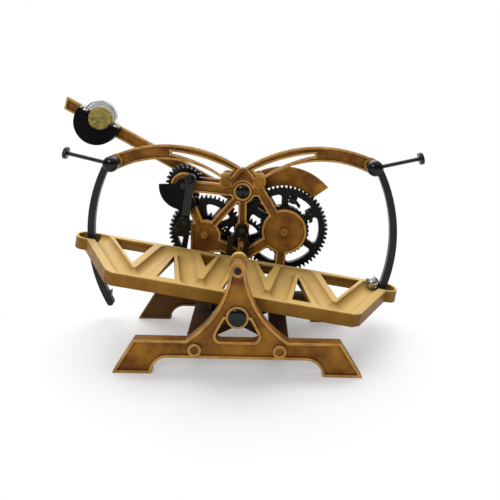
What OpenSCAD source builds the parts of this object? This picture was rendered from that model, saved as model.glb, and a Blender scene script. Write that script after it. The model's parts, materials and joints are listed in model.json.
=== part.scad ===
// Rolling-ball clock: a tray that rocks under a zig-zag track, a steel ball,
// a gear train between two plates, two hanging latch arms and a coin-driven lever.
// Widths run along X, depths run along Y away from the viewer, heights along Z.
// Depths are counted from the front stand's face before the whole model is centred.

/* [Stands] */
// Height of the tray's axis above the table
pivot_h = 61.4; // [58:0.1:66]
// Thickness of the front stand
stand_t = 6; // [5:0.1:8]
// Thickness of the rear stand
rear_stand_t = 5.5; // [4:0.1:6.5]
// Free length of the two crossbars between the stands
crossbar_l = 60; // [58.5:0.1:61.5]
// Half spread of the stands' feet, at their tips
foot_reach = 71.8; // [66:0.1:76]
// Half distance between the feet's inner corners
foot_inner = 49.2; // [44:0.1:54]
// Half width of the feet at their top
foot_top = 59.5; // [55:0.1:64]
// Height of the stands' bar
bar_top = 20; // [18:0.1:21]
// Height of the arch under the bar
bar_under = 9.8; // [6:0.1:10.2]
// Radius of the front stand's round head
head_r = 5.2; // [4.8:0.1:6.5]
// Radius of the hollow flanks that lead from the head to the feet
flank_r = 55.6; // [52:0.1:58]
// Distance of each crossbar from the middle
crossbar_x = 24.4; // [22:0.1:27]
// Height of the crossbars' centres
crossbar_z = 14.3; // [13.5:0.1:15.5]
// Width of a crossbar
crossbar_w = 11; // [8:0.1:12]
// Depth of a crossbar
crossbar_d = 8; // [6:0.1:8.6]
// Width of a leg of the horizontal brace
brace_w = 5.5; // [4:0.1:7]
// Height of the round cap in the front stand
cap_z = 34.2; // [33:0.1:36]
// Radius of the round cap
cap_r = 5.3; // [4:0.1:5.6]
// Half width of the front stand's window
window_half = 12.4; // [10:0.1:14]
// Radius of the window's lower corners
window_r = 3.2; // [2:0.1:4]

/* [Plates] */
// Thickness of a gear plate
plate_t = 4; // [3:0.1:5]
// Width of the raised rim along each edge
rim_w = 1.4; // [0.8:0.05:1.6]
// Height of the raised rim
rim_h = 1.1; // [0.5:0.05:1.4]
// Radius of the round field round the great wheel's arbor
field_r = 16.1; // [14:0.1:17]
// Radius of the lobe round the crank's arbor
lobe_r = 9.3; // [8:0.1:10]
// Radius of the field round the upper arbor
hub_r = 8.8; // [8:0.1:9.5]

/* [Wings] */
// Height of the point where the wings meet
apex_z = 107.6; // [106:0.1:109]
// Reach of the wings, to the arms' pins
wing_reach = 90.9; // [89.5:0.1:91.5]
// Height of the arms' pins
wing_tip_z = 109.5; // [108.5:0.1:110]
// Radius of the wing's round tip
wing_tip_r = 5.2; // [4.5:0.1:5.6]
// Thickness of a wing
wing_t = 4; // [3:0.1:4.4]
// Distance of each wing's lug from the middle
lug_x = 11.9; // [11:0.1:13]
// Height of the wings' lugs
lug_z = 96.2; // [95:0.1:97.5]

/* [Train] */
// Gear module
tooth_m = 1.05; // [1.03:0.005:1.06]
// Teeth of the great wheel
great_n = 60; // [60]
// Teeth of the centre wheel
centre_n = 50; // [50]
// Teeth of the crank wheel
crank_n = 25; // [25]
// Teeth of the upper pinion
upper_n = 20; // [20]
// Teeth of the centre wheel's pinion
centre_pinion_n = 24; // [24]
// Teeth of the idle wheel
idle_n = 30; // [30]
// Thickness of the wheels
wheel_t = 4; // [3:0.1:4.5]
// Distance of the great arbor from the middle
great_x = 30.4; // [29:0.1:32]
// Height of the great arbor
great_z = 59.2; // [58:0.1:61]
// Running gap between neighbouring layers
layer_gap = 0.4; // [0.3:0.05:0.6]
// Radius of the ratchet over its teeth
ratchet_r = 18.7; // [17.5:0.1:19.2]
// Radius of the arbors
arbor_r = 2; // [1.6:0.1:2.4]
// Radial clearance of every running fit
fit = 0.06; // [0.03:0.01:0.1]
// Crank radius
crank_r = 7.5; // [6.5:0.1:8]
// Radius of the crank's counterweight
weight_r = 17.4; // [15:0.1:17.5]
// Length of the connecting rod between its eyes
link_l = 31.4; // [30:0.1:32]

/* [Tray] */
// Angle at which the tray rests, right end down
tilt = 9; // [6:0.1:10]
// Height of the tray's rim under the axis
tray_drop = 19.4; // [18.5:0.1:21]
// Height of the tray's walls
tray_h = 8.1; // [6:0.1:8.6]
// Thickness of the walls
wall = 1.5; // [1.2:0.05:1.8]
// Depth of the track below the rim
lane_h = 3.6; // [3.2:0.1:4]
// Thickness of the track's floor
floor_t = 2; // [1.5:0.1:2.5]
// Inner width of the track
track_w = 12; // [11.4:0.1:12.2]
// Half distance of the two middle legs at the far rail
track_centre = 7; // [6.5:0.1:8]
// Distance of the track's ends from the middle
track_end = 95.7; // [95:0.1:96]
// Depth from the front stand to the near rail
near_gap = 8.5; // [7:0.1:10]
// Depth of the tray over its rails
tray_depth = 61.5; // [60.5:0.1:62]
// Thickness of the sloping end walls
end_wall = 5.2; // [4:0.1:5.5]
// Thickness of the tray's rim
rim_t = 2; // [1.5:0.1:2.5]
// Length of the open loops past the track's ends
loop_l = 10.4; // [9.5:0.1:11]
// Diameter of the steel ball
ball_d = 9.5; // [9:0.1:9.8]
// Radius of the tray's pins
pin_r = 1.8; // [1.5:0.1:2.1]

/* [Arms] */
// Radius of the latch arms, centred on the tray's axis
arm_r = 105; // [104.8:0.1:105.6]
// Width of an arm
arm_w = 4.8; // [4:0.1:5]
// Thickness of an arm
arm_t = 4; // [3:0.1:5]
// Angle of an arm's lower end below the axis
arm_end = 28.7; // [27:0.1:30]
// Length of a balance screw, from the arm's pin
screw_l = 33.5; // [30:0.5:38]
// Radius of a balance screw
screw_r = 1.25; // [1:0.05:1.4]
// Rise of a balance screw above the horizontal
screw_rise = 13; // [8:0.5:20]

/* [Lever] */
// Length of the drive lever from its arbor
lever_l = 190.3; // [185:0.1:196]
// Width of the lever
lever_w = 9; // [8:0.1:11]
// Thickness of the lever
lever_t = 4; // [3:0.1:5]
// Direction of the lever, from +X towards +Z
lever_a = 151.5; // [148:0.1:154]
// Distance of the coin cup from the arbor
cup_at = 160; // [155:0.1:168]
// Radius of the coin cup
cup_r = 17.1; // [16:0.1:18]
// Thickness of the coin cup
cup_t = 8; // [7.2:0.1:9]
// Radius of the clear drum
drum_r = 12; // [11.5:0.1:12.5]
// Diameter of a coin
coin_d = 18; // [16:0.1:19]
// Outer radius of the sector blade
blade_r = 44.5; // [42:0.1:46]
// Inner radius of the sector blade
blade_in = 30; // [28:0.1:32]
// Angle that the blade spans
blade_span = 111; // [100:1:112]

/* [Hidden] */
$fn = 64;
cut = 1;
seat = 0.02;

// Depths, front to back
rear_stand_y = stand_t + crossbar_l;
tray_y = stand_t + near_gap;
rail_back = tray_y + tray_depth;
bracket_t = 2.2;
rod_t = 2;
crank_t = 1.8;
step = 0.3;
rod_y = rail_back + bracket_t + step;
crank_y = rod_y + rod_t + step;
plate_y = crank_y + crank_t + step;
wing_y = plate_y - wing_t;
ratchet_t = 2.4;
ratchet_y = plate_y + plate_t + layer_gap;
wheel_y = ratchet_y + ratchet_t + layer_gap;
pinion_t = 3;
pinion_y = wheel_y + wheel_t + layer_gap;
rear_plate_y = pinion_y + pinion_t + layer_gap + step;
blade_t = 2.4;
blade_y = rear_plate_y + plate_t + step;
lever_y = blade_y + blade_t;
cup_y = lever_y - cup_t;
cap_proud = 1.4;
head_h = 1.2;
shaft_tail = 1.6;
model_back = lever_y + lever_t + shaft_tail;

// Widths from the tray's axis, and the shift that centres the whole model on its box
screw_head_r = 4.25;
screw_head_t = 3;
reach_left = great_x + lever_l * cos(lever_a) - lever_w / 2 * sin(lever_a);
reach_right = wing_reach + screw_l * cos(screw_rise) + screw_head_r * sin(screw_rise);
axis_x = -(reach_left + reach_right) / 2;
front_y = -(model_back - cap_proud) / 2;

// Places of the arbors, from the great arbor outwards along each pair's line of centres
function pitch_r(n) = tooth_m * n / 2;
function mesh_at(from, n1, n2, a) = from + (pitch_r(n1) + pitch_r(n2)) * [cos(a), sin(a)];
function mesh_turn(n1, turn1, n2, a) = a + 180 - n1 / n2 * (turn1 - a) - 180 / n2;
centre_a = 183.27;
crank_a = 113.4;
upper_a = 136.45;
idle_a = -13.2;
great_c = [great_x, great_z];
centre_c = mesh_at(great_c, great_n, centre_n, centre_a);
crank_c = mesh_at(centre_c, centre_n, crank_n, crank_a);
upper_c = mesh_at(great_c, great_n, upper_n, upper_a);
idle_c = mesh_at(centre_c, centre_pinion_n, idle_n, idle_a);
centre_turn = mesh_turn(great_n, 0, centre_n, centre_a);
crank_turn = mesh_turn(centre_n, centre_turn, crank_n, crank_a);
upper_turn = mesh_turn(great_n, 0, upper_n, upper_a);
idle_turn = mesh_turn(centre_pinion_n, 0, idle_n, idle_a);
axis_c = [0, pivot_h];

// The crank stands at crank_at above its arbor, and its rod hangs to the tray's bracket
crank_at = 42;
rod_lean = 7.1;
crank_pin_r = 1.5;
rod_eye_r = 4.2;
rod_top = crank_c + crank_r * [cos(crank_at), sin(crank_at)];
rod_foot = rod_top - link_l * [sin(rod_lean), cos(rod_lean)];

// Points and small helpers
function unit(v) = v / norm(v);
function polar(r, a) = r * [cos(a), sin(a)];
function arc(c, r, a0, a1, n) = [for (i = [0 : n]) c + polar(r, a0 + (a1 - a0) * i / n)];
function mirrored(pts) = [for (i = [len(pts) - 1 : -1 : 0]) [-pts[i][0], pts[i][1]]];
function inset_corner(a, p, b, d) =
    let (u = unit(p - a), v = unit(b - p), n = [-u[1], u[0]], m = unit(n + [-v[1], v[0]]))
    p + m * d / (m * n);
function inset(pts, d) =
    let (n = len(pts))
    [for (i = [0 : n - 1]) inset_corner(pts[(i + n - 1) % n], pts[i], pts[(i + 1) % n], d)];
function turned(p, a) = [p[0] * cos(a) - p[1] * sin(a), p[0] * sin(a) + p[1] * cos(a)];

// A straight bar of half width r between two points, with square ends
module bar(a, b, r) {
    n = r * [-unit(b - a)[1], unit(b - a)[0]];
    polygon([a + n, a - n, b - n, b + n]);
}

// Stands a drawing up, with its front face at depth y
module upright(y, t) {
    translate([axis_x, front_y + y + t, 0])
        rotate([90, 0, 0])
            linear_extrude(t) children();
}

// A moulded plate: the first drawing is its outline, the second the panel sunk into both faces
module moulded(y, t) {
    difference() {
        upright(y, t) children(0);
        upright(y - cut, rim_h + cut) children(1);
        upright(y + t - rim_h, rim_h + cut) children(1);
    }
}

// A round bar along Y through the point c, from depth y0 to y1
module shaft(c, y0, y1, r) {
    translate([axis_x + c[0], front_y + y1, c[1]])
        rotate([90, 0, 0])
            cylinder(h = y1 - y0, r = r);
}

// Stands
flank_c = [flank_r + head_r - 1.3, pivot_h + 5.4];
flank_foot = 180 + asin((flank_c[1] - bar_top) / flank_r);
flank_top = 180 + asin((flank_c[1] - pivot_h) / flank_r);
foot_half = concat(
    arc([foot_inner - bar_under, 0], bar_under, 90, 0, 8),
    [[foot_reach, 0], [foot_top, bar_top]]);
front_half = concat(foot_half, arc(flank_c, flank_r, flank_foot, flank_top, 18));
front_outline = concat(front_half, mirrored(front_half));
rear_outline = concat(foot_half, mirrored(foot_half));
ring_w = 1.2;
window_foot = bar_top - 0.1;
window_side = [cap_r + ring_w + 0.9, cap_z - 1];
window_half_pts = concat(
    arc([window_half - window_r, window_foot + window_r], window_r, -90, 30, 6),
    [window_side]);
window_pts = concat(window_half_pts, mirrored(window_half_pts));
boss_r = 3.9;
boss_recess = 2.5;
boss_bore = 1.6;

module both_bosses(r) {
    for (side = [-1, 1])
        translate([side * crossbar_x, crossbar_z]) circle(r);
}

module front_stand_face(d) {
    difference() {
        union() {
            polygon(inset(front_outline, d));
            translate([0, pivot_h]) circle(head_r - d);
        }
        difference() {
            polygon(inset(window_pts, -d));
            translate([0, cap_z]) circle(cap_r + ring_w - d);
        }
    }
}

module front_stand() {
    color("#8a6434")
    difference() {
        moulded(0, stand_t) {
            front_stand_face(0);
            difference() {
                front_stand_face(rim_w);
                both_bosses(boss_r);
                translate([0, cap_z]) circle(cap_r + ring_w);
                translate([0, pivot_h]) circle(pin_r + 2);
            }
        }
        shaft([0, pivot_h], -cut, stand_t + cut, pin_r);
        shaft([0, cap_z], -cut, stand_t + cut, cap_r + seat);
        for (side = [-1, 1]) {
            shaft([side * crossbar_x, crossbar_z], -cut, head_h, boss_recess);
            shaft([side * crossbar_x, crossbar_z], -cut, stand_t + cut, boss_bore);
        }
    }
}

module rear_stand() {
    color("#8a6434")
    difference() {
        moulded(rear_stand_y, rear_stand_t) {
            polygon(rear_outline);
            difference() {
                polygon(inset(rear_outline, rim_w));
                both_bosses(boss_r);
            }
        }
        for (side = [-1, 1])
            shaft([side * crossbar_x, crossbar_z], rear_stand_y - cut,
                rear_stand_y + rear_stand_t + cut, boss_bore);
    }
}

// A crossbar is a beam with a sunk panel in each side and a bore for its long screw
module crossbar(side) {
    panel_l = crossbar_l - 4 * rim_w;
    panel_h = crossbar_d - 2 * rim_w;
    color("#5a3a1e")
    difference() {
        translate([axis_x + side * crossbar_x - crossbar_w / 2, front_y + stand_t,
                crossbar_z - crossbar_d / 2])
            cube([crossbar_w, crossbar_l, crossbar_d]);
        for (end = [-1, 1])
            translate([axis_x + side * crossbar_x + end * crossbar_w / 2 - rim_h,
                    front_y + stand_t + 2 * rim_w, crossbar_z - panel_h / 2])
                cube([2 * rim_h, panel_l, panel_h]);
        shaft([side * crossbar_x, crossbar_z], stand_t - cut, stand_t + crossbar_l + cut, boss_bore);
    }
}

module left_crossbar() {
    crossbar(-1);
}

module right_crossbar() {
    crossbar(1);
}

// The brace lies flat between the crossbars, its legs meeting in a hub
brace_hub = 40 - stand_t;
brace_reach = 24;
brace_hub_r = 4.6;
module base_brace() {
    half = crossbar_x - crossbar_w / 2;
    color("#4c3220")
    translate([axis_x, front_y + stand_t, crossbar_z - crossbar_d / 2 + rim_w])
        linear_extrude(crossbar_d - 2 * rim_w)
            intersection() {
                translate([-half, 0]) square([2 * half, crossbar_l]);
                union() {
                    translate([0, brace_hub]) circle(brace_hub_r);
                    for (side = [-1, 1], end = [-1, 1])
                        bar([0, brace_hub], [side * (half + brace_w), brace_hub + end * brace_reach],
                            brace_w / 2);
                }
            }
}

// Long screws through both stands, the spacers and the plates' feet
module base_screws() {
    color("#2a2a2c")
    for (side = [-1, 1]) {
        c = [side * crossbar_x, crossbar_z];
        shaft(c, rim_h / 2, head_h, boss_recess - fit);
        shaft(c, head_h, rear_plate_y + plate_t, boss_bore - fit);
    }
}

module window_cap() {
    color("#1c1c1f")
    difference() {
        union() {
            shaft([0, cap_z], 0, stand_t, cap_r);
            shaft([0, cap_z], -cap_proud + 0.5, 0, cap_r);
            shaft([0, cap_z], -cap_proud, 0, cap_r - 0.8);
        }
        shaft([0, cap_z], stand_t - 3, stand_t + cut, cap_r - wall);
    }
}

module pivot_pin() {
    color("#5b5b60")
    shaft(axis_c, -0.8, tray_y + 3 * wall, pin_r - seat);
}

module pivot_bush() {
    color("#8a6434")
    difference() {
        shaft(axis_c, stand_t, tray_y - step, pin_r + wall);
        shaft(axis_c, stand_t - cut, tray_y + cut, pin_r);
    }
}

// Tray, drawn level with its axis at the origin and then tilted
module in_tray() {
    translate([axis_x, front_y, pivot_h])
        rotate([0, tilt, 0]) children();
}

// Extrudes a plan upwards from height w
module plan(w, h) {
    translate([0, 0, w]) linear_extrude(h) children();
}

// Stands a drawing up in the tray's own frame
module tray_upright(y, t) {
    translate([0, y + t, 0])
        rotate([90, 0, 0]) linear_extrude(t) children();
}

tray_foot = -tray_drop - tray_h;
lane = track_w / 2;
lane_foot = -tray_drop - lane_h - floor_t;
shell = 1.2;
near_bend = tray_y + wall + lane;
far_bend = rail_back - wall - lane;
loop_out = track_end + loop_l;
floor_past = 2.3;
floor_end = track_end + floor_past;
lug_t = 3.5;

// The track's bends from the middle outwards, all on two lines, and its straight run to the end loop
end_foot = [67.6, near_bend];
half_track = [[track_centre, far_bend], [14.6, near_bend], [27.2, near_bend], [36.7, far_bend],
    [49, far_bend], [57, near_bend], end_foot, [track_end, far_bend], [loop_out, far_bend]];
bends = concat(mirrored(half_track), half_track);

// Outline of a track of half width r along a path, with round bends outside and sharp ones inside
function left_of(v) = [-v[1], v[0]];
function bearing(v) = atan2(v[1], v[0]);
function bend_side(p, v, w, r) =
    let (n = left_of(v), m = unit(n + left_of(w)))
    v[0] * w[1] - v[1] * w[0] > 0
        ? [p + m * r / (m * n)]
        : arc(p, r, bearing(n), bearing(n) - acos(v * w), 10);
function left_side(path, r) =
    [for (i = [1 : len(path) - 2])
        each bend_side(path[i], unit(path[i] - path[i - 1]), unit(path[i + 1] - path[i]), r)];
function round_end(a, b, r) = arc(b, r, bearing(b - a) + 90, bearing(b - a) - 90, 14);
function reversed(list) = [for (i = [len(list) - 1 : -1 : 0]) list[i]];
function way_out(path, r) =
    concat(left_side(path, r), round_end(path[len(path) - 2], path[len(path) - 1], r));

module track(r) {
    polygon(concat(way_out(bends, r), way_out(reversed(bends), r)));
}

// Outline of the tray: a trapezoid with an open loop at each far corner
loop_r = lane + wall;
corner_cut = 3;
end_dir = unit([track_end, far_bend] - end_foot);
end_side = [end_dir[1], -end_dir[0]];
function end_line(y, d) =
    let (p = end_foot + end_side * d)
    [p[0] + (y - p[1]) * end_dir[0] / end_dir[1], y];
half_outline = concat(
    [end_line(tray_y, lane + end_wall) - [corner_cut, 0], end_line(tray_y + corner_cut, lane + end_wall),
        end_line(far_bend - loop_r, lane + end_wall)],
    arc([loop_out, far_bend], loop_r, -90, 90, 14));
module tray_outline() {
    polygon(concat(half_outline, mirrored(half_outline)));
}
rail_inset = 0.1;
half_inside = [end_line(tray_y + wall - rail_inset, lane + rail_inset),
    end_line(rail_back - wall + rail_inset, lane + rail_inset)];
module tray_inside() {
    polygon(concat(half_inside, mirrored(half_inside)));
}

// Triangular holes in the islands between the track's legs
half_holes = [[[14.9, 70.9], [20.3, 48], [26.6, 70.9]], [[35.9, 20.2], [47.3, 20.2], [42.9, 58]],
    [[59.6, 72], [65.8, 34], [88, 72]]];
module tray_holes() {
    polygon([[-7.2, 18.6], [7.2, 18.6], [0, 57]]);
    for (h = half_holes) {
        polygon(h);
        polygon(mirrored(h));
    }
}

module whole_tray() {
    difference() {
        union() {
            plan(tray_foot, tray_h)
                difference() {
                    tray_outline();
                    tray_inside();
                }
            plan(lane_foot, lane_h + floor_t) track(lane + shell);
            plan(-tray_drop - rim_t, rim_t) tray_outline();
            tray_upright(tray_y, lug_t) {
                bar([0, tray_foot + wall], [0, 0], head_r - 0.8);
                circle(head_r);
            }
        }
        plan(lane_foot + floor_t, tray_h) track(lane);
        plan(tray_foot - cut, tray_h)
            difference() {
                track(lane);
                translate([-floor_end, 0]) square([2 * floor_end, rail_back]);
            }
        plan(tray_foot - cut, tray_h + 2 * cut) tray_holes();
        tray_upright(tray_y - cut, lug_t + 2 * cut) circle(pin_r + fit);
    }
}

// Everything between two distances along the tray
module tray_span(u0, u1) {
    translate([u0, 0, 2 * tray_foot])
        cube([u1 - u0, rail_back + cut, -4 * tray_foot]);
}

module tray() {
    color("#c09453")
    in_tray()
    intersection() {
        whole_tray();
        tray_span(-floor_end, floor_end);
    }
}

// The loops past the floor's ends, which the arms pass through, are moulded on the tray
module track_loop() {
    color("#c09453")
    intersection() {
        whole_tray();
        tray_span(floor_end, loop_out + 2 * loop_r);
    }
}
module right_loop() {
    in_tray() track_loop();
}
module left_loop() {
    in_tray() mirror([1, 0, 0]) track_loop();
}

// Black fork that hangs the tray's far rail on the plate's pin
hanger_t = 3.4;
fork_r = 2.1;
module tray_hanger() {
    color("#1c1c1f")
    in_tray()
    difference() {
        tray_upright(rail_back, hanger_t) {
            circle(pin_r + 3);
            bar([0, 0], [5, -9], fork_r);
            bar([5, -8], [5, tray_foot + wall], fork_r);
            bar([0, 0], [-7, -8], fork_r);
            translate([-7, -8]) circle(fork_r);
            bar([-7, -8], [-6, tray_foot + wall], fork_r);
            translate([0, -tray_drop - tray_h / 2]) square([14, tray_h - 2 * wall], center = true);
        }
        tray_upright(rail_back - cut, hanger_t + 2 * cut) circle(pin_r + fit);
    }
}

// Black bracket on the far rail that the connecting rod drives
bracket_c = turned(rod_foot - axis_c, tilt);
bracket_leg = 2.7;
bracket_screw = [-5, -5];
bracket_pts = [[-4.4, 1], [-7.4, -5], [-6.6, -9.6], [4.6, -9.6], [4.6, 0]];
bracket_places = [bracket_c, bracket_c + bracket_screw];
screw_shank = 1.2;
module link_bracket() {
    leg_x = bracket_c[0] + bracket_leg;
    color("#1c1c1f")
    in_tray()
    difference() {
        tray_upright(rail_back, bracket_t) {
            translate(bracket_c) {
                circle(rod_eye_r + 0.4);
                polygon(bracket_pts);
            }
            bar([leg_x, bracket_c[1] - 6], [leg_x, tray_foot + wall], 2);
            translate([leg_x - 5, tray_foot + wall]) square([10, tray_h - 2 * wall]);
        }
        tray_upright(rail_back - cut, bracket_t + 2 * cut)
            for (p = bracket_places)
                translate(p) circle(screw_shank);
    }
}

// Two round heads on the bracket: the rod's pivot and a fixing screw
module bracket_pins() {
    color("#3a3a3d")
    in_tray()
    for (p = bracket_places) {
        tray_upright(rail_back - 0.9, 0.9) translate(p) circle(2);
        tray_upright(rail_back, bracket_t) translate(p) circle(screw_shank - seat);
    }
}

module ball() {
    color("#c8c8cc")
    in_tray()
        translate([track_end, far_bend, lane_foot + floor_t + ball_d / 2 + step / 2])
            sphere(d = ball_d);
}

// Gear plates: one drawing serves both
right_elbow = [12.9, 88.4];
field_neck = [24.2, 69.6];
keel = [0, 40];
panel_pts = [[-37.6, 43], [-16, 43], [-10.7, 48.5], [-16, 52.1], [-15.7, 57], [-18.5, 62.7],
    [-21.5, 65.3], [-28.7, 66.7], [-37.6, 64]];
leg_left = [-27, 45];
leg_right = [29, 47];
foot_w = 12;
foot_h = 5;
strut = 3.45;

module feet(d) {
    for (side = [-1, 1])
        translate([side * crossbar_x - foot_w / 2 + d, d]) square([foot_w - 2 * d, foot_h - d]);
}

module plate_face(d) {
    translate(great_c) circle(field_r - d);
    translate(crank_c) circle(lobe_r - d);
    translate(upper_c) circle(hub_r - d);
    translate(axis_c) circle(pin_r + 3.4 - d);
    translate(right_elbow) circle(strut - d);
    bar(crank_c, upper_c, 4 - d);
    bar(upper_c, right_elbow, strut - d);
    bar(right_elbow, field_neck, strut - d);
    for (side = [-1, 1]) {
        translate([side * lug_x, lug_z]) circle(4.4 - d);
        bar([side * lug_x, lug_z], [side * (lug_x - 1), 88], 3.6 - d);
    }
    bar(upper_c, keel, 3 - d);
    bar(upper_c, [-21, 63.7], 2.6 - d);
    bar(crank_c, [-31.6, 64.5], 3.2 - d);
    polygon(inset(panel_pts, d));
    bar([-20, 50.5], keel, 3.8 - d);
    bar([22, 54.2], keel, 3.8 - d);
    translate(keel) circle(3.8 - d);
    bar([29, 52], leg_right, strut - d);
    translate(leg_right) circle(strut - d);
    bar(leg_left, [-crossbar_x, foot_h - d - 1], 4.4 - d);
    bar(leg_right, [crossbar_x, foot_h - d - 1], strut - d);
    both_bosses(boss_r + 1 - d);
    feet(d);
}

module plate_bosses() {
    for (c = [great_c, centre_c])
        translate(c) circle(3.2);
    translate(upper_c) circle(6.6);
    translate(axis_c) circle(pin_r + 1.6);
    translate(idle_c) circle(2.4);
    for (side = [-1, 1])
        translate([side * lug_x, lug_z]) circle(3.4);
    both_bosses(boss_r);
    translate(crank_c) circle(4);
}

upper_arbor_r = 3.6;
lug_bore = 1.6;
module plate_bores(y) {
    front = y - cut;
    back = y + plate_t + cut;
    for (c = [great_c, centre_c, crank_c])
        shaft(c, front, back, arbor_r + fit);
    shaft(upper_c, front, back, upper_arbor_r + fit);
    for (side = [-1, 1]) {
        shaft([side * lug_x, lug_z], front, back, lug_bore);
        shaft([side * crossbar_x, crossbar_z], front, back, boss_bore);
    }
}

module gear_plate(y) {
    moulded(y, plate_t) {
        plate_face(0);
        difference() {
            plate_face(rim_w);
            plate_bosses();
        }
    }
}

module front_plate() {
    color("#8a6434")
    difference() {
        gear_plate(plate_y);
        plate_bores(plate_y);
        shaft(axis_c, plate_y - cut, plate_y + plate_t + cut, pin_r);
    }
}

module rear_plate() {
    color("#7d5a2e")
    difference() {
        gear_plate(rear_plate_y);
        plate_bores(rear_plate_y);
        shaft(idle_c, rear_plate_y - cut, rear_plate_y + plate_t + cut, arbor_r);
    }
}

// Wings: two arcs bound each wing, two more its slot
wing_top_c = [54.1, 27];
wing_top_r = 95;
wing_low_c = [56.7, 38.9];
wing_low_r = 72.8;
slot_top_c = [60.6, 2.5];
slot_top_r = 115.1;
slot_low_c = [69.7, 21.2];
slot_low_r = 96;
slot_end = 51;
wing_foot_r = 6.2;
inner_low = [9.4, 96.6];
wing_strut = 3.8;

module wing_face(d) {
    lean = unit([0, apex_z] - inner_low);
    side = [lean[1], -lean[0]];
    difference() {
        union() {
            intersection() {
                difference() {
                    translate(wing_top_c) circle(wing_top_r - d, $fn = 200);
                    translate(wing_low_c) circle(wing_low_r + d, $fn = 200);
                }
                polygon([inner_low - 14 * lean + d * side, [wing_reach, 84], [wing_reach, 130],
                    [d, 130], [d, apex_z - d], [0, apex_z] + d * side]);
            }
            translate([wing_reach, wing_tip_z]) circle(wing_tip_r - d);
            translate([lug_x, lug_z]) circle(4.6 - d);
        }
        difference() {
            intersection() {
                translate(slot_top_c) circle(slot_top_r + d, $fn = 200);
                polygon([inner_low + (wing_strut - d) * side - 3 * lean, [slot_end + d, 96],
                    [slot_end + d, 130], [0, apex_z] + (wing_strut - d) * side + 12 * lean]);
            }
            translate(slot_low_c) circle(slot_low_r - d, $fn = 200);
            translate([lug_x, lug_z]) circle(wing_foot_r - d);
        }
    }
}

module wing() {
    difference() {
        moulded(wing_y, wing_t) {
            wing_face(0);
            difference() {
                wing_face(rim_w);
                translate([wing_reach, wing_tip_z]) circle(wing_tip_r);
                translate([lug_x, lug_z]) circle(4.6);
            }
        }
        shaft([wing_reach, wing_tip_z], wing_y - cut, plate_y + cut, lug_bore);
        shaft([lug_x, lug_z], wing_y - cut, plate_y + cut, lug_bore);
    }
}

module left_wing() {
    color("#8a6434")
    translate([2 * axis_x, 0, 0]) mirror([1, 0, 0]) wing();
}

module right_wing() {
    color("#8a6434") wing();
}

module wing_pins() {
    color("#8a6434")
    for (side = [-1, 1]) {
        c = [side * lug_x, lug_z];
        shaft(c, wing_y - 1.4, wing_y, 3.5);
        shaft(c, wing_y, plate_y + plate_t, lug_bore - seat);
    }
}

// Upper pillars between the plates
module plate_pillars() {
    color("#2a2a2c")
    for (side = [-1, 1])
        shaft([side * lug_x, lug_z], plate_y + plate_t, rear_plate_y, 2.2);
}

// Lower spacers: rear stand to front plate, and plate to plate
module foot_spacers() {
    color("#5a3a1e")
    for (side = [-1, 1]) {
        c = [side * crossbar_x, crossbar_z];
        for (span = [[rear_stand_y + rear_stand_t, plate_y], [plate_y + plate_t, rear_plate_y]])
            difference() {
                shaft(c, span[0], span[1], boss_r);
                shaft(c, span[0] - cut, span[1] + cut, boss_bore);
            }
    }
}

module rear_pivot_pin() {
    color("#5b5b60") {
        shaft(axis_c, rail_back, plate_y + plate_t, pin_r - seat);
        shaft(axis_c, rail_back + hanger_t + step, plate_y, pin_r + 1.2);
    }
}

// Wheels with involute teeth
pressure = 20;
backlash = 0.12;
function involute(r, rb) = let (a = acos(min(1, rb / r))) tan(a) * 180 / PI - a;
function flank_a(n, r) =
    let (rb = pitch_r(n) * cos(pressure))
    90 / n - backlash / 2 / pitch_r(n) * 180 / PI + involute(pitch_r(n), rb)
        - involute(max(r, rb), rb);
function tooth_rs(n) = [pitch_r(n) - 1.2 * tooth_m, pitch_r(n) - 0.55 * tooth_m, pitch_r(n),
    pitch_r(n) + 0.55 * tooth_m, pitch_r(n) + tooth_m];
function teeth(n) = [for (i = [0 : n - 1], side = [-1, 1], k = [0 : 4])
    let (r = tooth_rs(n)[side < 0 ? k : 4 - k])
    polar(r, 360 / n * i + side * flank_a(n, r))];

// An opening between two spokes, with round corners
function opening(r_in, r_out, width, n, c) =
    let (w = width / 2 + c, b1 = asin(w / (r_out - c)), b2 = asin(w / (r_in + c)), s = 360 / n)
    concat(
        arc(polar(r_in + c, b2), c, b2 + 180, 270, 3),
        arc(polar(r_out - c, b1), c, -90, b1, 3),
        arc([0, 0], r_out, b1 + 2, s - b1 - 2, 6),
        arc(polar(r_out - c, s - b1), c, s - b1, s + 90, 3),
        arc(polar(r_in + c, s - b2), c, s + 90, s + 180 - b2, 3),
        b2 < s / 2 - 3 ? arc([0, 0], r_in, s - b2 - 1, b2 + 1, 4) : []);

module spoked(n, r_in, r_out, width, spokes, at, corner) {
    difference() {
        polygon(teeth(n));
        for (i = [0 : spokes - 1])
            rotate(at + i * 360 / spokes) polygon(opening(r_in, r_out, width, spokes, corner));
    }
}

// Stands a wheel's drawing up on the arbor at c
module on_arbor(c, y, t, turn = 0) {
    upright(y, t) translate(c) rotate(turn) children();
}

great_spokes = 28;
great_rim = 25.9;
great_web = 15.6;
pawl_at = [73, 33];
pawl_arm = 22.6;
pawl_pin_r = 1.2;
module great_wheel() {
    color("#202023")
    difference() {
        on_arbor(great_c, wheel_y, wheel_t) {
            spoked(great_n, great_web, great_rim, 5, 6, great_spokes, 2.2);
            for (a = pawl_at)
                bar(polar(pawl_arm - 2.6, a), polar(great_rim + 1, a), 2.6);
        }
        shaft(great_c, wheel_y - cut, wheel_y + wheel_t + cut, arbor_r + fit);
        for (a = pawl_at)
            shaft(great_c + polar(pawl_arm, a), wheel_y - cut, wheel_y + wheel_t + cut, pawl_pin_r);
    }
}

module pawl_pins() {
    color("#6a3a1c")
    for (a = pawl_at)
        shaft(great_c + polar(pawl_arm, a), ratchet_y, wheel_y + wheel_t, pawl_pin_r - seat);
}

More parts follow.
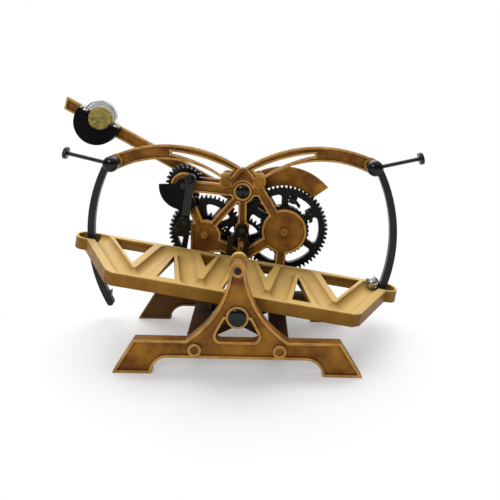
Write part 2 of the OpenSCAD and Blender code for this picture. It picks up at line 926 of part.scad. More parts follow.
module great_arbor() {
    color("#5b5b60") {
        shaft(great_c, plate_y, model_back, arbor_r);
        shaft(great_c, lever_y + lever_t, model_back, arbor_r + 1.5);
    }
}

ratchet_n = 36;
ratchet_tooth = 1.1;
module ratchet() {
    color("#1c1c1f")
    difference() {
        on_arbor(great_c, ratchet_y, ratchet_t)
            polygon([for (i = [0 : ratchet_n - 1], k = [0, 1])
                polar(ratchet_r - k * ratchet_tooth, (i + k * 0.12) * 360 / ratchet_n)]);
        shaft(great_c, ratchet_y - cut, wheel_y, arbor_r + seat);
    }
}

// A pawl swings on its pin, with its beak over the ratchet's teeth
pawl_eye = 2.3;
module pawl(a) {
    c = polar(pawl_arm, a);
    beak = polar(ratchet_r + 0.5, a - 17);
    heel = polar(ratchet_r + 3.2, a - 16);
    tail = polar(pawl_arm + 1.6, a + 9);
    color("#2a2a2c")
    difference() {
        on_arbor(great_c, ratchet_y, ratchet_t) {
            translate(c) circle(pawl_eye);
            polygon([c + polar(pawl_eye, a + 180 + 55), beak, heel, c + polar(pawl_eye, a - 20)]);
            bar(c, tail, 0.8);
        }
        shaft(great_c + c, ratchet_y - cut, wheel_y, pawl_pin_r + fit);
    }
}

module upper_pawl() {
    pawl(pawl_at[0]);
}

module lower_pawl() {
    pawl(pawl_at[1]);
}

module centre_wheel() {
    color("#202023")
    difference() {
        on_arbor(centre_c, wheel_y, wheel_t, centre_turn)
            spoked(centre_n, 8.5, 21, 4.4, 5, 20, 2);
        shaft(centre_c, wheel_y - cut, wheel_y + wheel_t + cut, arbor_r + seat);
    }
}

module centre_pinion() {
    color("#202023")
    difference() {
        on_arbor(centre_c, pinion_y - layer_gap, pinion_t + layer_gap)
            polygon(teeth(centre_pinion_n));
        shaft(centre_c, wheel_y, rear_plate_y, arbor_r + seat);
    }
}

module centre_arbor() {
    color("#5b5b60")
    shaft(centre_c, plate_y + rim_h, rear_plate_y + plate_t, arbor_r);
}

module crank_wheel() {
    color("#202023")
    difference() {
        on_arbor(crank_c, wheel_y, wheel_t, crank_turn)
            polygon(teeth(crank_n));
        shaft(crank_c, wheel_y - cut, wheel_y + wheel_t + cut, arbor_r + seat);
    }
}

module crank_arbor() {
    color("#5b5b60")
    shaft(crank_c, crank_y, rear_plate_y + plate_t, arbor_r);
}

// Counterweight sector with the crank's pin on the other side
weight_from = 176;
weight_to = 306;
module crank_weight() {
    pin = crank_r * [cos(crank_at), sin(crank_at)];
    color("#1c1c1f") {
        difference() {
            on_arbor(crank_c, crank_y, crank_t) {
                polygon(concat([polar(2, 60)], arc([0, 0], weight_r, weight_from, weight_to, 26)));
                circle(5.4);
                translate(pin) circle(4);
                bar([0, 0], pin, 4);
            }
            shaft(crank_c, crank_y - cut, plate_y, arbor_r + seat);
        }
        shaft(rod_top, rod_y - step, crank_y, crank_pin_r);
        shaft(rod_top, rod_y - step - 1, rod_y - step, 2.6);
    }
}

module connecting_rod() {
    color("#1c1c1f")
    difference() {
        upright(rod_y, rod_t) {
            translate(rod_top) circle(rod_eye_r);
            translate(rod_foot) circle(rod_eye_r);
            bar(rod_top, rod_foot, 2.9);
        }
        shaft(rod_top, rod_y - cut, rod_y + rod_t + cut, crank_pin_r + fit);
    }
}

module upper_pinion() {
    color("#202023")
    difference() {
        on_arbor(upper_c, wheel_y, wheel_t, upper_turn)
            polygon(teeth(upper_n));
        shaft(upper_c, wheel_y - cut, wheel_y + wheel_t + cut, upper_arbor_r + seat);
    }
}

module upper_arbor() {
    color("#1c1c1f")
    shaft(upper_c, plate_y + 0.4, rear_plate_y + plate_t, upper_arbor_r);
}

module idle_wheel() {
    color("#202023")
    difference() {
        on_arbor(idle_c, pinion_y, pinion_t, idle_turn)
            spoked(idle_n, 5.5, 12.4, 3, 5, 10, 1.4);
        shaft(idle_c, pinion_y - cut, pinion_y + pinion_t + cut, arbor_r + fit);
    }
}

module idle_stud() {
    color("#5b5b60")
    shaft(idle_c, pinion_y, rear_plate_y + plate_t, arbor_r - seat);
}

// Drive lever, drawn along its own length from the great arbor
module lever_upright(y, t) {
    on_arbor(great_c, y, t, lever_a) children();
}

lever_root = 6.4;
lever_neck = 34;
lever_pts = [[0, -lever_root], [lever_neck, -lever_w / 2], [lever_l, -lever_w / 2],
    [lever_l - 2.4, lever_w / 2], [lever_neck, lever_w / 2], [0, lever_root]];
module drive_lever() {
    color("#8a6434")
    difference() {
        moulded(lever_y, lever_t) {
            lever_outline(0);
            difference() {
                lever_outline(rim_w);
                translate(great_c) circle(5);
            }
        }
        shaft(great_c, lever_y - cut, lever_y + lever_t + cut, arbor_r + seat);
    }
}

module lever_outline(d) {
    translate(great_c) rotate(lever_a) {
        polygon(inset(lever_pts, d));
        circle(8.4 - d);
    }
}

module sector_blade() {
    color("#7a4f22")
    lever_upright(blade_y, blade_t)
        difference() {
            polygon(concat([polar(4, -blade_span / 2)],
                arc([0, 0], blade_r, -blade_span, 6, 30)));
            circle(blade_in);
        }
}

cup_drum_gap = 0.15;
drum_off = -5;
cup_chord = -3.7;
cup_notch = 9.8;
cup_wall = 1.2;
module coin_cup() {
    color("#1c1c1f")
    difference() {
        lever_upright(cup_y, cup_t)
            intersection() {
                translate([cup_at, 0]) circle(cup_r);
                translate([cup_at - cup_r, cup_chord]) square([2 * cup_r, cup_r - cup_chord]);
            }
        lever_upright(cup_y + cup_wall, cup_t - 2 * cup_wall)
            translate([cup_at, drum_off]) circle(drum_r + cup_drum_gap);
        lever_upright(cup_y - cut, cup_wall + 2 * cut)
            translate([cup_at, drum_off]) circle(cup_notch);
    }
}

drum_wall = 1;
module coin_drum() {
    drum_y = cup_y + cup_wall + cup_drum_gap;
    drum_t = cup_t - 2 * cup_wall - 2 * cup_drum_gap;
    color("#dfe6ea", 0.35)
    difference() {
        lever_upright(drum_y, drum_t) {
            translate([cup_at, drum_off]) circle(drum_r);
            translate([cup_at, cup_chord - 1.4]) square([31, 2.2], center = true);
        }
        lever_upright(drum_y + 0.6, drum_t - 1.2)
            translate([cup_at, drum_off]) circle(drum_r - drum_wall);
    }
}

coin_count = 3;
coin_gap = 0.06;
module coins() {
    drum_y = cup_y + cup_wall + cup_drum_gap + 0.6;
    space = cup_t - 2 * cup_wall - 2 * cup_drum_gap - 1.2;
    coin_t = space / coin_count - coin_gap;
    rest = drum_r - drum_wall - coin_d / 2 - 0.1;
    low = turned([0, -rest], -lever_a);
    color("#b08d3c")
    for (i = [0 : coin_count - 1])
        lever_upright(drum_y + i * space / coin_count + coin_gap / 2, coin_t)
            translate([cup_at, drum_off] + low) circle(coin_d / 2);
}

// Latch arms hang from the wing tips, curved about the tray's axis
arm_y = far_bend - arm_t / 2;
arm_pin = [wing_reach, wing_tip_z];
arm_top_a = atan2(wing_tip_z - pivot_h, wing_reach);
arm_hub_r = 5.5;
ledge_a = 24.6;
ledge_in = 2.6;

module arm() {
    half = arm_w / 2;
    color("#1c1c1f")
    difference() {
        upright(arm_y, arm_t) {
            translate(arm_pin) circle(arm_hub_r);
            translate(axis_c) {
                polygon(concat(
                    arc([0, 0], arm_r + half, -arm_end, arm_top_a, 40),
                    arc([0, 0], arm_r - half, arm_top_a, -arm_end, 40)));
                translate(polar(arm_r, -arm_end)) circle(half);
                polygon([polar(arm_r - 1, -ledge_a), polar(arm_r - half - ledge_in, -ledge_a),
                    polar(arm_r - half, -ledge_a - 2.2)]);
            }
        }
        shaft(arm_pin, arm_y - cut, wing_y, lug_bore + fit);
        balance_bore(screw_r + fit);
    }
}

module balance_axis() {
    translate([axis_x + arm_pin[0], front_y + far_bend, arm_pin[1]])
        rotate([0, 90 - screw_rise, 0]) children();
}

screw_in = 2.6;
module balance_bore(r) {
    balance_axis() translate([0, 0, screw_in]) cylinder(h = arm_hub_r, r = r);
}

module balance_screw() {
    color("#1c1c1f")
    balance_axis() {
        translate([0, 0, screw_in + step])
            cylinder(h = screw_l - screw_in - step, r = screw_r);
        translate([0, 0, screw_l - screw_head_t]) cylinder(h = screw_head_t, r = screw_head_r);
    }
}

module arm_pin_piece() {
    color("#1c1c1f") {
        shaft(arm_pin, arm_y - 1, arm_y - 0.2, 3);
        shaft(arm_pin, arm_y - 0.5, plate_y, lug_bore - seat);
        shaft(arm_pin, arm_y + arm_t + 0.2, wing_y, 3.6);
    }
}

module flipped() {
    translate([2 * axis_x, 0, 0]) mirror([1, 0, 0]) children();
}

module left_arm() {
    flipped() arm();
}

module right_arm() {
    arm();
}

module left_arm_pin() {
    flipped() arm_pin_piece();
}

module right_arm_pin() {
    arm_pin_piece();
}

module left_balance_screw() {
    flipped() balance_screw();
}

module right_balance_screw() {
    balance_screw();
}

front_stand();
rear_stand();
left_crossbar();
right_crossbar();
base_brace();
base_screws();
window_cap();
pivot_pin();
pivot_bush();
tray();
left_loop();
right_loop();
tray_hanger();
link_bracket();
bracket_pins();
ball();
front_plate();
rear_plate();
left_wing();
right_wing();
wing_pins();
plate_pillars();
foot_spacers();
rear_pivot_pin();
great_wheel();
great_arbor();
ratchet();
pawl_pins();
upper_pawl();
lower_pawl();
centre_wheel();
centre_pinion();
centre_arbor();
crank_wheel();
crank_arbor();
crank_weight();
connecting_rod();
upper_pinion();
upper_arbor();
idle_wheel();
idle_stud();
drive_lever();
sector_blade();
coin_cup();
coin_drum();
coins();
left_arm();
right_arm();
left_arm_pin();
right_arm_pin();
left_balance_screw();
right_balance_screw();
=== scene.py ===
"""Finishes, small turned pieces and the stage for the rolling-ball clock model.

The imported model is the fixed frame. This file gives every part its finish, adds the
pieces that are easier to draw as surfaces, and sets the camera, lamps and floor.
The pieces' sizes are in millimetres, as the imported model's are; the stage's lengths and the
scene itself are in metres.
"""
import json
import math

import bmesh
import bpy
import numpy as np
from bpy.props import FloatProperty, FloatVectorProperty, IntProperty, PointerProperty
from mathutils import Matrix, Vector


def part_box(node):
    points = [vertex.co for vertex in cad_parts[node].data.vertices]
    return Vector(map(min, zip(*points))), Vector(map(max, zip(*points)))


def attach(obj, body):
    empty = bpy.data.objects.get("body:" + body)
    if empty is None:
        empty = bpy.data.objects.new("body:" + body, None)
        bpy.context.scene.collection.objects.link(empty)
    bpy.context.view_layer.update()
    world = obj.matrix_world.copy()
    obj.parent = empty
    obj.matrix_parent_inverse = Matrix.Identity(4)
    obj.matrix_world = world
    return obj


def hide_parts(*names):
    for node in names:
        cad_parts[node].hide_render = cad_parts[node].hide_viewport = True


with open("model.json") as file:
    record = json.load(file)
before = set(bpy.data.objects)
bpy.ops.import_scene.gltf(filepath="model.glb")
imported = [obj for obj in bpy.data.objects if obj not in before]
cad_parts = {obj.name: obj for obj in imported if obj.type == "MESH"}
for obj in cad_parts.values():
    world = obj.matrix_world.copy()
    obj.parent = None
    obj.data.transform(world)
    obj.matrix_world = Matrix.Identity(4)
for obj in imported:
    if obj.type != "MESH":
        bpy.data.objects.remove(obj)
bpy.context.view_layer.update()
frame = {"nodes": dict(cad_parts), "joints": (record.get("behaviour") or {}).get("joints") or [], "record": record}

bl_info = {
    "name": "Ball clock model",
    "version": (1, 0, 0),
    "blender": (4, 5, 0),
    "location": "3D View > Sidebar > Ball Clock",
    "description": "Finishes, small turned pieces and stage of a rolling-ball clock model",
    "category": "Object",
}

MM = 0.001
NODES = frame["nodes"]
SLOTS = {part["node"]: part["material_slot"] for part in frame["record"]["subparts"]}
JOINTS = {joint["name"]: joint for joint in frame["joints"]}
RIGHT, BACK, UP = np.eye(3)

# The tray's axis, the front stand's face and the angle at which the tray rests
AXIS = np.array(JOINTS["tray_rock"]["pos_m"]) / MM
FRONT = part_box("front_stand")[0].y / MM
TILT = math.radians(9)

# How far the plates' panels are sunk below their rims, in millimetres
SUNK = 1.1


# Settings

def length(name, description, default):
    """A size in millimetres."""
    return FloatProperty(name=name, description=description, default=default, min=0, precision=2)


def colour(name, description, default):
    """A colour, in linear light."""
    return FloatVectorProperty(name=name, description=description, default=default,
                               subtype="COLOR", size=3, min=0, max=1)


class ClockColours(bpy.types.PropertyGroup):
    """Colours of the plastics and metals."""
    tan: colour("Tan", "Moulded plates, wings, stands and lever", (0.33, 0.148, 0.018))
    # Darker side of the mottle, and painted shade in the corners and along the panels' edges
    tan_shade: colour("Tan in the hollows", "Darker wash in the sunk panels", (0.14, 0.05, 0.009))
    # Wear and painted highlight on the rims and edges
    tan_worn_and_lit: colour("Tan on the rims", "Raised rims and rubbed edges", (0.84, 0.47, 0.13))
    tray: colour("Tray", "The rocking tray", (0.27, 0.132, 0.018))
    # Darker side of the mottle, and painted shade beside the tray's walls
    tray_shade: colour("Tray in the hollows", "Wash beside the tray's walls", (0.2, 0.09, 0.01))
    # Wear and painted highlight on the rims, and painted light from above on the faces that point up
    tray_worn_and_lit: colour("Tray on the rims", "Rubbed upper rims of the tray", (0.8, 0.54, 0.18))
    # A darker copy of the tan: painted shade on the crossbars, brace and spacers low under the frame
    brown: colour("Brown", "Crossbars, brace and spacers", (0.1, 0.046, 0.015))
    # Darker side of the mottle, and painted shade in the corners
    brown_shade: colour("Brown in the hollows", "Darker wash on the brown parts",
                        (0.04, 0.018, 0.008))
    # Wear and painted highlight on the edges
    brown_worn_and_lit: colour("Brown on the edges", "Rubbed edges of the brown parts", (0.22, 0.12, 0.05))
    # A darker copy of the tan: painted shade on the rear stand behind the tray
    stand: colour("Rear stand", "The rear stand", (0.13, 0.062, 0.018))
    black: colour("Black", "Wheels, arms and other black parts", (0.004, 0.004, 0.0045))
    # Wear and painted highlight on the edges
    black_worn_and_lit: colour("Black on the edges", "Rubbed edges of the black parts",
                       (0.034, 0.034, 0.036))
    arm: colour("Arms", "The two hanging arms", (0.014, 0.014, 0.0145))
    steel: colour("Dark steel", "Arbors, pins and screws", (0.055, 0.055, 0.058))
    polished: colour("Polished steel", "The ball", (0.46, 0.46, 0.47))
    trim: colour("Trim", "The drum's rings and knobs", (0.3, 0.3, 0.3))
    brass: colour("Brass", "The coins", (0.56, 0.45, 0.09))
    brass_shade: colour("Brass, tarnished", "Patches on the coins", (0.26, 0.195, 0.042))
    clear: colour("Clear", "The coin drum", (0.96, 0.97, 0.98))


class ClockSizes(bpy.types.PropertyGroup):
    """Sizes of the pieces drawn in this file, in millimetres."""
    lane_half: length("Half width of the track", "Half the inner width of the ball's track", 6)
    lane_depth: length("Depth of the track", "Depth of the track below the rim", 3.6)
    lane_floor: length("Height of the track's floor", "Floor of the track below the axis", 23)
    lining: length("Lining", "Thickness of the track's hollow lining", 0.3)
    lane_end: length("End of the lining", "Distance of the lining's ends from the middle", 98)
    hub_r: length("Hub radius", "Radius of the round caps on the arms' hubs", 5.35)
    hub_h: length("Hub height", "Height of the round caps on the arms' hubs", 3.1)
    screw_l: length("Screw length", "Length of a balance screw", 33.5)
    screw_r: length("Screw radius", "Radius of a balance screw's shank", 1.4)
    screw_in: length("Screw start", "Distance of the shank's inner end from the hub's centre", 2.9)
    thread: length("Thread pitch", "Pitch of the balance screws' thread", 0.8)
    head_r: length("Head radius", "Radius of a balance screw's head", 4.25)
    head_t: length("Head thickness", "Thickness of a balance screw's head", 3)
    button_r: length("Button radius", "Radius of the black button in the front stand", 5.3)
    ball_r: length("Ball radius", "Radius of the steel ball", 4.75)
    coin_r: length("Coin radius", "Radius of a coin", 9)
    ring_r: length("Ring radius", "Radius of the drum's metal rings", 11.45)
    ring_wire: length("Ring wire", "Radius of the rings' wire", 0.32)
    knob_r: length("Knob radius", "Radius of the drum's two holding knobs", 1.3)
    lug_r: length("Lug radius", "Radius of the round heads on the wings' lugs", 3.4)
    boss_r: length("Boss radius", "Radius of the round bosses over the arbors", 3.0)
    rib_w: length("Rib width", "Width of the ribs between the wings", 1.9)
    round_steps: IntProperty(name="Steps", description="Steps round a turned piece", default=64,
                             min=12)


class ClockStage(bpy.types.PropertyGroup):
    """Camera, lamps and floor; lengths and places are in metres."""
    focal: FloatProperty(name="Focal length", description="Camera's focal length", default=36.164,
                         unit="CAMERA")
    shift: FloatProperty(name="Shift", description="Upward shift of the lens", default=-0.25)
    yaw: FloatProperty(name="Yaw", description="Turn of the camera to the left",
                       default=math.radians(0.765), subtype="ANGLE")
    pitch: FloatProperty(name="Pitch", description="Downward pitch of the camera",
                         default=math.radians(5.125), subtype="ANGLE")
    roll: FloatProperty(name="Roll", description="Roll of the camera",
                        default=math.radians(0.806), subtype="ANGLE")
    place: FloatVectorProperty(name="Place", default=(0.00932, -0.27354, 0.16864),
                               description="Camera from the tray's axis on the front stand's face",
                               subtype="TRANSLATION")
    key_power: FloatProperty(name="Key lamp", description="Power of the lamp above",
                             default=22.0, unit="POWER")
    key_size: FloatProperty(name="Key lamp's side", description="Side of the lamp above",
                            default=1.4, unit="LENGTH")
    key_place: FloatVectorProperty(name="Key lamp's place", description="Place of the lamp above",
                                   default=(-0.15, 0.72, 0.98), subtype="TRANSLATION")
    fill_power: FloatProperty(name="Fill lamp", description="Power of the lamp beside the camera",
                              default=2.6, unit="POWER")
    fill_size: FloatProperty(name="Fill lamp's side", default=0.3, unit="LENGTH",
                             description="Side of the lamp beside the camera")
    fill_place: FloatVectorProperty(name="Fill lamp's place",
                                    description="Place of the lamp beside the camera",
                                    default=(-0.35, -0.85, 0.6), subtype="TRANSLATION")
    aim: FloatProperty(name="Aim", description="Height at which both lamps are aimed", default=0.07,
                       unit="LENGTH")
    room: FloatProperty(name="Room light", description="Strength of the light from all round",
                        default=0.46)
    floor: FloatProperty(name="Floor", description="Grey of the floor", default=0.84,
                         subtype="FACTOR", min=0, max=1)
    # Glowing white seen under the model: painted light that lightens the shadow
    floor_glow: FloatProperty(name="Floor's white", description="Share of white under the model",
                               default=0.3, subtype="FACTOR", min=0, max=1)
    white_from: FloatProperty(name="White from", default=0.07, unit="LENGTH",
                              description="Distance at which the floor starts to turn white")
    white_at: FloatProperty(name="White at", default=0.16, unit="LENGTH",
                            description="Distance from which the floor is plain white")


# Finishes

def scaled(tone, share):
    """The colour with each channel times the share."""
    return tuple(share * channel for channel in tone)


class Graph:
    """A node tree, with short ways to add nodes to it and to link them."""

    def __init__(self, tree):
        self.tree = tree

    def node(self, kind, *values, **settings):
        """Adds a node with the settings and feeds its first sockets with the values."""
        made = self.tree.nodes.new(kind)
        for key, value in settings.items():
            setattr(made, key, value)
        for socket, value in zip(made.inputs, values):
            self.feed(socket, value)
        return made

    def feed(self, socket, value):
        """Links an output to the socket, or sets the socket to a plain value."""
        if isinstance(value, bpy.types.NodeSocket):
            self.tree.links.new(value, socket)
        elif isinstance(value, (int, float)) or len(value) == len(socket.default_value):
            socket.default_value = value
        else:
            socket.default_value = (*value, 1)

    def span(self, value, low, high, to_low=0.0, to_high=1.0, **settings):
        """Carries low..high to to_low..to_high, held at both ends."""
        made = self.node("ShaderNodeMapRange", value, low, high, to_low, to_high, **settings)
        return made.outputs[0]

    def calc(self, operation, a, b):
        """One step of arithmetic, such as MULTIPLY or MAXIMUM, on two levels."""
        return self.node("ShaderNodeMath", a, b, operation=operation).outputs[0]

    def rest(self, share):
        """What the share leaves of 1."""
        return self.calc("SUBTRACT", 1.0, share)


class Finish(Graph):
    """A material and the nodes that lead into its Principled shader."""

    def __init__(self, name, metallic=0.0, specular=0.5):
        self.material = bpy.data.materials.new(name)
        self.material.use_nodes = True
        super().__init__(self.material.node_tree)
        self.shader = self.tree.nodes["Principled BSDF"]
        self.shader.inputs["Metallic"].default_value = metallic
        self.shader.inputs["Specular IOR Level"].default_value = specular
        self.place = self.node("ShaderNodeTexCoord").outputs["Object"]

    def noise(self, scale, detail=3.0, roughness=0.55):
        """A level from 0 to 1 that changes about scale times in a metre."""
        made = self.node("ShaderNodeTexNoise", self.place)
        made.inputs["Scale"].default_value = scale
        made.inputs["Detail"].default_value = detail
        made.inputs["Roughness"].default_value = roughness
        return made.outputs["Fac"]

    def blend(self, share, a, b):
        """Mixes two colours; share is how much of b there is."""
        made = self.node("ShaderNodeMix", share, data_type="RGBA")
        self.feed(made.inputs[6], a)
        self.feed(made.inputs[7], b)
        return made.outputs[2]

    def dot(self, a, b):
        """The dot product of two vectors."""
        return self.node("ShaderNodeVectorMath", a, b, operation="DOT_PRODUCT").outputs["Value"]

    def flat_normal(self):
        """The normal of the flat face, before any rounding."""
        return self.node("ShaderNodeNewGeometry").outputs["True Normal"]

    def soft_edges(self, radius):
        """Normals rounded over the radius, in millimetres, and a share that is 1 on an edge."""
        rounded = self.node("ShaderNodeBevel", radius * MM, samples=6).outputs[0]
        return rounded, self.span(self.dot(rounded, self.flat_normal()), 0.995, 0.8)

    def corner_shade_share(self, reach):
        """A share for painted shade: 1 in tight corners and 0 on open faces; reach is in millimetres."""
        made = self.node("ShaderNodeAmbientOcclusion", samples=8, only_local=True)
        made.inputs["Distance"].default_value = reach * MM
        return self.span(made.outputs["AO"], 0.85, 0.4)

    def finish(self, tone, rough, bump, strength, depth=0.2, normal=None):
        """Feeds the shader with the colour, the roughness and a bump on the normal; depth is the
        bump's, in millimetres."""
        made = self.node("ShaderNodeBump")
        made.inputs["Strength"].default_value = strength
        made.inputs["Distance"].default_value = depth * MM
        self.feed(made.inputs["Height"], bump)
        if normal is not None:
            self.feed(made.inputs["Normal"], normal)
        self.feed(self.shader.inputs["Base Color"], tone)
        self.feed(self.shader.inputs["Roughness"], rough)
        self.feed(self.shader.inputs["Normal"], made.outputs[0])
        return self.material


def moulded(name, tone, shade, worn, up=None, panel=0.0, rim=1.0, gloss=0.4, painted_top_light=0.0,
            reach=3.4):
    """Painted moulded plastic: mottled, with painted shade in the corners of the sunk panels and light
    rims, part wear and part painted highlight. up is the direction in which the rims stand, and panel
    and rim are the levels of the sunk panels and of the rims along it, in millimetres. The last two
    arguments are how much lighter the faces that point up are, painted light from above, and how far
    the painted shade spreads from a corner, in millimetres."""
    f = Finish(name, specular=0.1)
    normal, edge = f.soft_edges(0.55)
    high, low = edge, 0.0
    if up is not None:
        # A rim's light colour, part wear and part painted highlight, starts at one share of its rise and is whole
        # at another
        start, whole = (panel + share * (rim - panel) for share in (0.35, 0.8))
        high = f.span(f.dot(f.place, tuple(up)), start * MM, whole * MM)
        # The panels' edges next to the rims get painted shade
        low = f.calc("MULTIPLY", edge, f.rest(high))

    # The painted shade is strong in closed corners and a little weaker along the panels' edges
    corner = f.calc("MAXIMUM", f.calc("MULTIPLY", low, 0.7),
                    f.calc("MULTIPLY", f.corner_shade_share(reach), 0.8))
    mottle = f.span(f.noise(70, detail=4, roughness=0.6), 0.38, 0.66)
    body = f.blend(corner, f.blend(mottle, shade, tone), scaled(shade, 0.35))

    # Rims are lighter in patches of wear, their edges more evenly, wear and painted highlight; faces open to the
    # top can be lighter too, painted light from above
    patches = f.span(f.noise(160), 0.3, 0.62, to_low=0.15, to_high=0.5)
    edges = f.calc("MULTIPLY", f.calc("MULTIPLY", high, edge), 0.9)
    wear_and_highlight = f.calc("MAXIMUM", f.calc("MULTIPLY", high, patches), edges)
    if painted_top_light:
        # Faces that point up are lighter: painted light from above
        lit_from_above = f.span(f.dot(f.flat_normal(), tuple(UP)), 0.3, 0.95, to_high=painted_top_light)
        wear_and_highlight = f.calc("MAXIMUM", wear_and_highlight, f.calc("MULTIPLY", lit_from_above, f.rest(corner)))
    rough = f.span(f.noise(220, detail=2), 0.3, 0.7, gloss - 0.08, gloss + 0.08)
    return f.finish(f.blend(wear_and_highlight, body, worn), rough, f.noise(420), strength=0.12, normal=normal)


def black_plastic(name, tone, worn, gloss=0.3, shine=0.2, dust=0.22):
    """Black plastic with a faint grain, dust in its colour and lighter edges, part wear and part painted
    highlight. gloss is the roughness and shine the strength of its reflections."""
    f = Finish(name, specular=shine)
    normal, edge = f.soft_edges(0.4)
    film = f.span(f.noise(110, detail=4), 0.45, 0.8, to_high=dust)
    patches = f.span(f.noise(300, detail=2), 0.35, 0.65, to_low=0.2, to_high=0.9)
    # Dust in the colour, and edges lighter as wear and painted highlight
    lighter = f.calc("MAXIMUM", film, f.calc("MULTIPLY", edge, patches))
    rough = f.span(f.noise(180), 0.3, 0.7, gloss - 0.05, gloss + 0.12)
    return f.finish(f.blend(lighter, tone, worn), rough, f.noise(900, detail=2), strength=0.08,
                    depth=0.1, normal=normal)


def metal(name, tone, rough, grain=900, worn=0.6):
    """Metal with fine grain in its roughness and a slow change in its colour."""
    f = Finish(name, metallic=1.0)
    normal, _ = f.soft_edges(0.2)
    tint = f.blend(f.span(f.noise(150), 0.35, 0.7), tone, scaled(tone, worn))
    fine = f.noise(grain, detail=2)
    return f.finish(tint, f.span(fine, 0.3, 0.7, rough, rough + 0.1), fine, strength=0.04,
                    depth=0.05, normal=normal)


def coin_metal(name, tone, shade):
    """Handled brass: mottled patches and a soft, pitted surface."""
    f = Finish(name, metallic=0.35, specular=0.3)
    patches = f.span(f.noise(330, detail=4, roughness=0.65), 0.36, 0.62)
    rough = f.span(f.noise(260), 0.3, 0.7, to_low=0.38, to_high=0.6)
    return f.finish(f.blend(patches, shade, tone), rough, f.noise(700), strength=0.35)


def clear_plastic(name, tone):
    """Clear moulded plastic with faint scuffs in its roughness."""
    f = Finish(name)
    f.shader.inputs["Transmission Weight"].default_value = 1.0
    f.shader.inputs["IOR"].default_value = 1.22
    tint = f.blend(f.span(f.noise(90), 0.4, 0.7), tone, scaled(tone, 0.93))
    rough = f.span(f.noise(260), 0.35, 0.7, to_low=0.04, to_high=0.16)
    return f.finish(tint, rough, f.noise(300, detail=2), strength=0.05, depth=0.1)


def coat(names, material):
    """Gives the CAD nodes the material."""
    for name in names:
        slots = NODES[name].material_slots
        if not slots:
            NODES[name].data.materials.append(material)
        for slot in slots:
            slot.material = material


# Surfaces

# Points nearer than this become one, in metres
WELD = 2e-7


def sheet_faces(rows, cols, wrap_rows=False, wrap_cols=False):
    """Quads between the points of a grid counted row by row, as an (n, 4) array. The corners of
    quad (i, j) are the points (i, j), (i + 1, j), (i + 1, j + 1) and (i, j + 1)."""
    i = np.arange(rows if wrap_rows else rows - 1)[:, None]
    j = np.arange(cols if wrap_cols else cols - 1)[None, :]
    i1, j1 = (i + 1) % rows, (j + 1) % cols
    quad = (i * cols + j, i1 * cols + j, i1 * cols + j1, i * cols + j1)
    return np.stack(np.broadcast_arrays(*quad), -1).reshape(-1, 4)


def turned(profile, centre, axis, steps):
    """Surface of revolution. profile holds (distance along the axis, radius) pairs from pole to
    pole; a point is centre + along * axis + radius * (cos t * u + sin t * v), where u and v are
    square to the axis and t runs once round."""
    axis = np.asarray(axis, float) / np.linalg.norm(axis)
    u = np.cross(axis, RIGHT if abs(axis[0]) < 0.9 else UP)
    u /= np.linalg.norm(u)
    v = np.cross(axis, u)
    t = np.linspace(0, 2 * math.pi, steps, endpoint=False)[None, :, None]
    along, radius = np.asarray(profile, float).T[:, :, None, None]
    points = np.asarray(centre, float) + along * axis + radius * (np.cos(t) * u + np.sin(t) * v)
    return points.reshape(-1, 3), sheet_faces(len(profile), steps, wrap_cols=True)


def together(shells):
    """Joins several (points, faces) surfaces into one."""
    starts = np.cumsum([0] + [len(points) for points, _ in shells[:-1]])
    return (np.concatenate([points for points, _ in shells]),
            np.concatenate([faces + start for (_, faces), start in zip(shells, starts)]))


def piece(name, surface, material, body, stands_for=(), trims=(), crease=35):
    """Makes a mesh object of a surface in millimetres, closes its poles and seams, cuts it at the
    trims, and lets it ride on a body. stands_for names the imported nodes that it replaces, and an
    edge is sharp from crease degrees."""
    points, faces = surface
    mesh = bpy.data.meshes.new(name)
    mesh.from_pydata((points * MM).tolist(), [], faces.tolist())
    work = bmesh.new()
    work.from_mesh(mesh)
    bmesh.ops.remove_doubles(work, verts=work.verts, dist=WELD)
    bmesh.ops.dissolve_degenerate(work, edges=work.edges, dist=WELD / 2)
    bmesh.ops.holes_fill(work, edges=[e for e in work.edges if e.is_boundary])
    for place, outward in trims:
        parts = work.verts[:] + work.edges[:] + work.faces[:]
        bmesh.ops.bisect_plane(work, geom=parts, plane_co=Vector(place) * MM,
                               plane_no=Vector(outward), clear_outer=True)
        bmesh.ops.holes_fill(work, edges=[e for e in work.edges if e.is_boundary])
    bmesh.ops.recalc_face_normals(work, faces=work.faces)
    work.to_mesh(mesh)
    work.free()
    mesh.shade_smooth()
    mesh.set_sharp_from_angle(angle=math.radians(crease))
    mesh.materials.append(material)
    made = bpy.data.objects.new(name, mesh)
    bpy.context.scene.collection.objects.link(made)
    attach(made, body)
    if stands_for:
        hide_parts(*stands_for)


def in_tray(u, y, w):
    """Points of the tilted tray: u along it from the axis, y behind the front stand's face and w
    above the axis. From the axis, x is u * cos(TILT) + w * sin(TILT) and the height is
    w * cos(TILT) - u * sin(TILT)."""
    u, y, w = np.broadcast_arrays(u, y, w)
    x = AXIS[0] + u * math.cos(TILT) + w * math.sin(TILT)
    z = AXIS[2] - u * math.sin(TILT) + w * math.cos(TILT)
    return np.stack([x, FRONT + y, z], -1)


# The track's bends from the middle outwards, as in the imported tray, and its run to the end loop
NEAR_BEND, FAR_BEND = 22.0, 68.5
HALF_TRACK = np.array([(7, FAR_BEND), (14.6, NEAR_BEND), (27.2, NEAR_BEND), (36.7, FAR_BEND),
                       (49, FAR_BEND), (57, NEAR_BEND), (67.6, NEAR_BEND), (95.7, FAR_BEND),
                       (106.1, FAR_BEND)])


